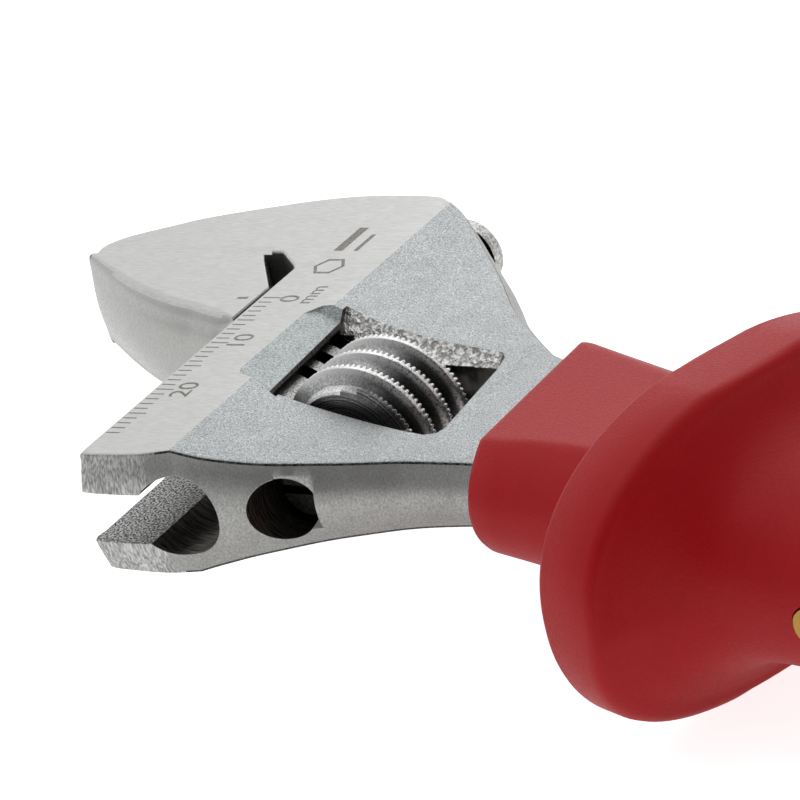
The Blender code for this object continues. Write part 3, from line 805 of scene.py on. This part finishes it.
def from_handle(s, y):
    """The head's u and v at s behind the worm's axis along the handle, and y to its side."""
    u = AXIS_U - s * math.cos(HEAD_TURN) + y * math.sin(HEAD_TURN)
    v = AXIS_V + s * math.sin(HEAD_TURN) + y * math.cos(HEAD_TURN)
    return u, v


def moulded_plastic(name, dark, light, roughness, bump):
    """Satin moulded plastic: a slight change of tone, and a fine grain in the surface."""
    material = bpy.data.materials.new(name)
    material.use_nodes = True
    tree = material.node_tree
    shader = tree.nodes["Principled BSDF"]
    shader.inputs["Specular IOR Level"].default_value = 0.22
    where = node(tree, "ShaderNodeGroup", node_tree=head_place_group)
    grain = node(tree, "ShaderNodeGroup", node_tree=metal_grain)
    grain.inputs["Grains per mm"].default_value = 4.0
    grain.inputs["Sharpness"].default_value = 0.6
    tone = node(tree, "ShaderNodeMix", data_type="RGBA")
    tone.inputs["A"].default_value = (*dark, 1.0)
    tone.inputs["B"].default_value = (*light, 1.0)
    rough = node(tree, "ShaderNodeMapRange")
    rough.inputs["To Min"].default_value = roughness + 0.06
    rough.inputs["To Max"].default_value = roughness - 0.03
    relief = node(tree, "ShaderNodeBump")
    relief.inputs["Distance"].default_value = bump
    link = tree.links.new
    link(where.outputs["Place"], grain.inputs["Place"])
    link(grain.outputs["Cloud"], tone.inputs["Factor"])
    link(tone.outputs["Result"], shader.inputs["Base Color"])
    link(grain.outputs["Grain"], rough.inputs["Value"])
    link(rough.outputs["Result"], shader.inputs["Roughness"])
    link(grain.outputs["Grain"], relief.inputs["Height"])
    link(relief.outputs["Normal"], shader.inputs["Normal"])
    return material


red_plastic = moulded_plastic(
    "red_plastic", (0.47, 0.004, 0.008), (0.53, 0.006, 0.010), 0.40, 0.000008
)
yellow_plastic = moulded_plastic(
    "yellow_plastic", (0.70, 0.42, 0.08), (0.78, 0.48, 0.10), 0.5, 0.000015
)

# Each row: s, half width, half height, squareness, height of the flats, and how the outline
# leans with y and below the middle. UNCUT is higher than any outline, so it leaves no flats.
sleeve_front = (AXIS_U - SLEEVE_FRONT_U) / math.cos(HEAD_TURN)
slant = math.tan(HEAD_TURN)
sleeve = [
    (sleeve_front, 11.6, 6.6, 2.0, 5.0, slant),
    (sleeve_front + 0.02, 13.0, 7.8, 2.0, 5.7, slant),
    (sleeve_front + 0.35, 13.5, 8.2, 2.0, 5.98, slant),
    (sleeve_front + 0.9, 13.65, 8.3, 2.0, 6.08, slant),
]
sleeve += smooth_run(
    [(25.5, 13.3, 8.35, 2.0, 6.35, slant * 0.8), (30.0, 12.9, 8.45, 2.0, 6.7, slant * 0.5)]
    + [(36.0, 12.4, 8.6, 2.0, 7.05, slant * 0.2), (42.0, 12.1, 8.65, 2.0, 7.3, 0)]
    + [(46.2, 12.1, 8.7, 2.0, 7.4, 0)],
    4,
)
guard = [
    (46.5, 12.25, 8.8, 2.0, 7.6, 0),
    (47.0, 12.7, 9.2, 2.05, 8.1, 0),
    (47.3, 13.5, 9.9, 2.1, 9.2, 0),
    (47.4, 14.8, 10.9, 2.15, 10.9, 0),
    (47.45, 18.0, 12.8, 2.25, UNCUT, 0),
    (47.5, 21.6, 14.6, 2.25, UNCUT, 0),
    (47.62, 22.5, 15.3, 2.25, UNCUT, 0),
    (47.95, 23.1, 15.8, 2.25, UNCUT, 0),
    (48.4, 23.45, 16.2, 2.25, 16.0, 0),
    (48.8, 23.6, 16.45, 2.25, 16.08, 0),
    (54.2, 23.6, 16.45, 2.25, 16.08, 0, 0.3),
    (54.9, 23.5, 16.3, 2.25, 16.0, 0, 0.3),
    (55.3, 23.25, 15.8, 2.25, UNCUT, 0, 0.3),
    (55.5, 22.85, 15.45, 2.25, UNCUT, 0, 0.3),
    (55.6, 22.3, 15.0, 2.2, UNCUT, 0, 0.3),
]
grip = smooth_run(
    [(55.85, 20.8, 14.3, 2.2, UNCUT, 0, 0.3), (57.0, 17.4, 12.5, 2.2, UNCUT, 0, 0.29)]
    + [(58.6, 14.8, 11.2, 2.15, UNCUT, 0, 0.26), (61.0, 13.1, 10.2, 2.15, UNCUT, 0, 0.18)]
    + [(65.5, 12.2, 9.5, 2.15, UNCUT, 0, 0.09), (72.0, 11.8, 9.2, 2.15, UNCUT, 0, 0.02)]
    + [(82.0, 12.0, 9.4, 2.15, UNCUT, 0, 0.0), (110.0, 13.4, 10.6, 2.15, UNCUT, 0, 0.0)]
    + [(150.0, 14.2, 11.3, 2.15, UNCUT, 0, 0.0), (185.0, 13.6, 10.8, 2.15, UNCUT, 0, 0.0)]
    + [(200.0, 12.9, 10.4, 2.13, UNCUT, 0, 0.0), (204.5, 11.4, 9.0, 2.1, UNCUT, 0, 0.0)]
    + [(207.3, 8.9, 7.0, 2.05, UNCUT, 0, 0.0), (208.6, 6.0, 4.8, 2.0, UNCUT, 0, 0.0)]
    + [(209.0, 3.0, 2.4, 2.0, UNCUT, 0, 0.0)],
    5,
)


def handle_section(s, half_width, half_height, squareness, flat, lean, sag=0.0):
    """One outline round the handle: a superellipse with its top and bottom cut off flat."""
    ring = []
    for i in range(AROUND):
        angle = 2 * math.pi * (i + 0.5) / AROUND
        c = math.cos(angle)
        d = math.sin(angle)
        y = half_width * math.copysign(abs(c) ** (2 / squareness), c)
        z = half_height * math.copysign(abs(d) ** (2 / squareness), d)
        z = min(max(z, -flat), flat)
        ring.append((*from_handle(s + lean * y + sag * min(z, 0.0), y), z))
    return ring


def handle_shape(grow=0.0):
    """The outside of the handle, or the same shape grown or shrunk."""
    rings = []
    for s, half_width, half_height, squareness, flat, *leans in sleeve + guard + grip:
        size = (half_width + grow, half_height + grow)
        rings.append(handle_section(s, *size, squareness, flat + grow, *leans))
    return loft(rings)


insulation = solid("red_insulation", handle_shape(), red_plastic)

# ---------------------------------------------------------------------------------------------
# Grip inlays: a soft yellow panel let into each side of the grip, with a fine groove round it.

INLAY_CENTRE = 117.3
INLAY_LENGTH = 49.2
INLAY_HEIGHT = 5.6


def inlay_column(side, grow):
    """The blunt oval outline of an inlay, as a bar out through one side of the grip."""
    rings = []
    for y in (4.0, 24.0):
        ring = []
        for i in range(96):
            angle = 2 * math.pi * i / 96
            c = math.cos(angle)
            d = math.sin(angle)
            along = (INLAY_LENGTH + grow) * math.copysign(abs(c) ** 0.8, c)
            up = (INLAY_HEIGHT + grow) * math.copysign(abs(d) ** 0.8, d)
            ring.append((*from_handle(INLAY_CENTRE + along, side * y), up))
        rings.append(ring)
    return loft(rings)


for name, side, cad_node in (
    ("yellow_inlay_jaw_side", 1, "grip_inlay_jaw_side"),
    ("yellow_inlay_back_side", -1, "grip_inlay_back_side"),
):
    recess = solid("recess", inlay_column(side, 0.25), red_plastic)
    apply_tool(recess, solid("recess_floor", handle_shape(-1.3), red_plastic), "DIFFERENCE")
    apply_tool(insulation, recess, "DIFFERENCE")
    inlay = solid(name, inlay_column(side, 0.0), yellow_plastic)
    apply_tool(inlay, solid("inlay_skin", handle_shape(0.15), yellow_plastic), "INTERSECT")
    apply_tool(inlay, solid("inlay_floor", handle_shape(-1.2), yellow_plastic), "DIFFERENCE")
    place(inlay, "frame")
    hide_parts(cad_node)

place(insulation, "frame", 40)
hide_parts("outer_insulation")

inner_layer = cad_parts["inner_insulation"]
inner_layer.data.materials.clear()
inner_layer.data.materials.append(yellow_plastic)

# ---------------------------------------------------------------------------------------------
# Studio: a pale floor, a white room that is greyer towards the camera, two soft boxes and the
# camera looking down over the open end of the head.

FLOOR_HEIGHT = -0.01615

floor_shape = bmesh.new()
bmesh.ops.create_grid(floor_shape, x_segments=1, y_segments=1, size=3.0)
bmesh.ops.translate(floor_shape, verts=floor_shape.verts, vec=(0, 0, FLOOR_HEIGHT))
floor_mesh = bpy.data.meshes.new("pale_floor")
floor_shape.to_mesh(floor_mesh)
floor_shape.free()
pale_floor = bpy.data.objects.new("pale_floor", floor_mesh)
bpy.context.scene.collection.objects.link(pale_floor)
paper = bpy.data.materials.new("white_paper")
paper.use_nodes = True
paper_tree = paper.node_tree
paper_shader = paper_tree.nodes["Principled BSDF"]
paper_shader.inputs["Base Color"].default_value = (0.90, 0.90, 0.90, 1.0)
paper_shader.inputs["Roughness"].default_value = 0.9
paper_shader.inputs["Emission Color"].default_value = (1.0, 1.0, 1.0, 1.0)
seen_paper = node(paper_tree, "ShaderNodeLightPath")
paper_glow = node(paper_tree, "ShaderNodeMapRange")
paper_glow.inputs["To Min"].default_value = 0.30
paper_glow.inputs["To Max"].default_value = 0.85
paper_tree.links.new(seen_paper.outputs["Is Camera Ray"], paper_glow.inputs["Value"])
paper_tree.links.new(paper_glow.outputs["Result"], paper_shader.inputs["Emission Strength"])
floor_mesh.materials.append(paper)

room = bpy.data.worlds.new("studio")
bpy.context.scene.world = room
room.use_nodes = True
room_tree = room.node_tree
backdrop = room_tree.nodes["Background"]
way = node(room_tree, "ShaderNodeTexCoord")
facing = node(room_tree, "ShaderNodeVectorMath", operation="DOT_PRODUCT")
facing.inputs[1].default_value = (0.83, -0.55, 0.05)
fade = node(room_tree, "ShaderNodeMapRange")
fade.inputs["From Min"].default_value = -0.9
fade.inputs["From Max"].default_value = 0.7
fade.inputs["To Min"].default_value = 0.08
fade.inputs["To Max"].default_value = 0.85
seen = node(room_tree, "ShaderNodeLightPath")
choose = node(room_tree, "ShaderNodeMix", data_type="FLOAT")
choose.inputs["B"].default_value = 1.0
room_tree.links.new(way.outputs["Generated"], facing.inputs[0])
room_tree.links.new(facing.outputs["Value"], fade.inputs["Value"])
room_tree.links.new(fade.outputs["Result"], choose.inputs["A"])
room_tree.links.new(seen.outputs["Is Camera Ray"], choose.inputs["Factor"])
room_tree.links.new(choose.outputs["Result"], backdrop.inputs["Strength"])
backdrop.inputs["Color"].default_value = (1, 1, 1, 1)


def soft_box(name, place_at, aim, width, height, power):
    """A rectangular soft box aimed at a point."""
    light = bpy.data.lights.new(name, "AREA")
    light.shape = "RECTANGLE"
    light.size = width
    light.size_y = height
    light.energy = power
    lamp = bpy.data.objects.new(name, light)
    lamp.location = place_at
    lamp.rotation_euler = (Vector(aim) - Vector(place_at)).to_track_quat("-Z", "Y").to_euler()
    bpy.context.scene.collection.objects.link(lamp)


soft_box("overhead_box", (0.15, 0.0, 0.75), (0.05, 0.0, 0.0), 0.9, 0.7, 0.8)
soft_box("far_box", (0.55, -0.75, 0.55), (0.06, 0.0, 0.0), 0.8, 0.5, 1.1)

camera_data = bpy.data.cameras.new("camera")
camera_data.sensor_width = 36.0
camera_data.lens = 195.17
camera_data.clip_start = 0.01
camera = bpy.data.objects.new("camera", camera_data)
camera.location = (-0.24502, 0.21177, 0.17719)
camera.rotation_euler = [math.radians(angle) for angle in (64.7736, 12.3744, -129.1761)]
bpy.context.scene.collection.objects.link(camera)
bpy.context.scene.camera = camera
bpy.context.scene.view_settings.view_transform = "Standard"
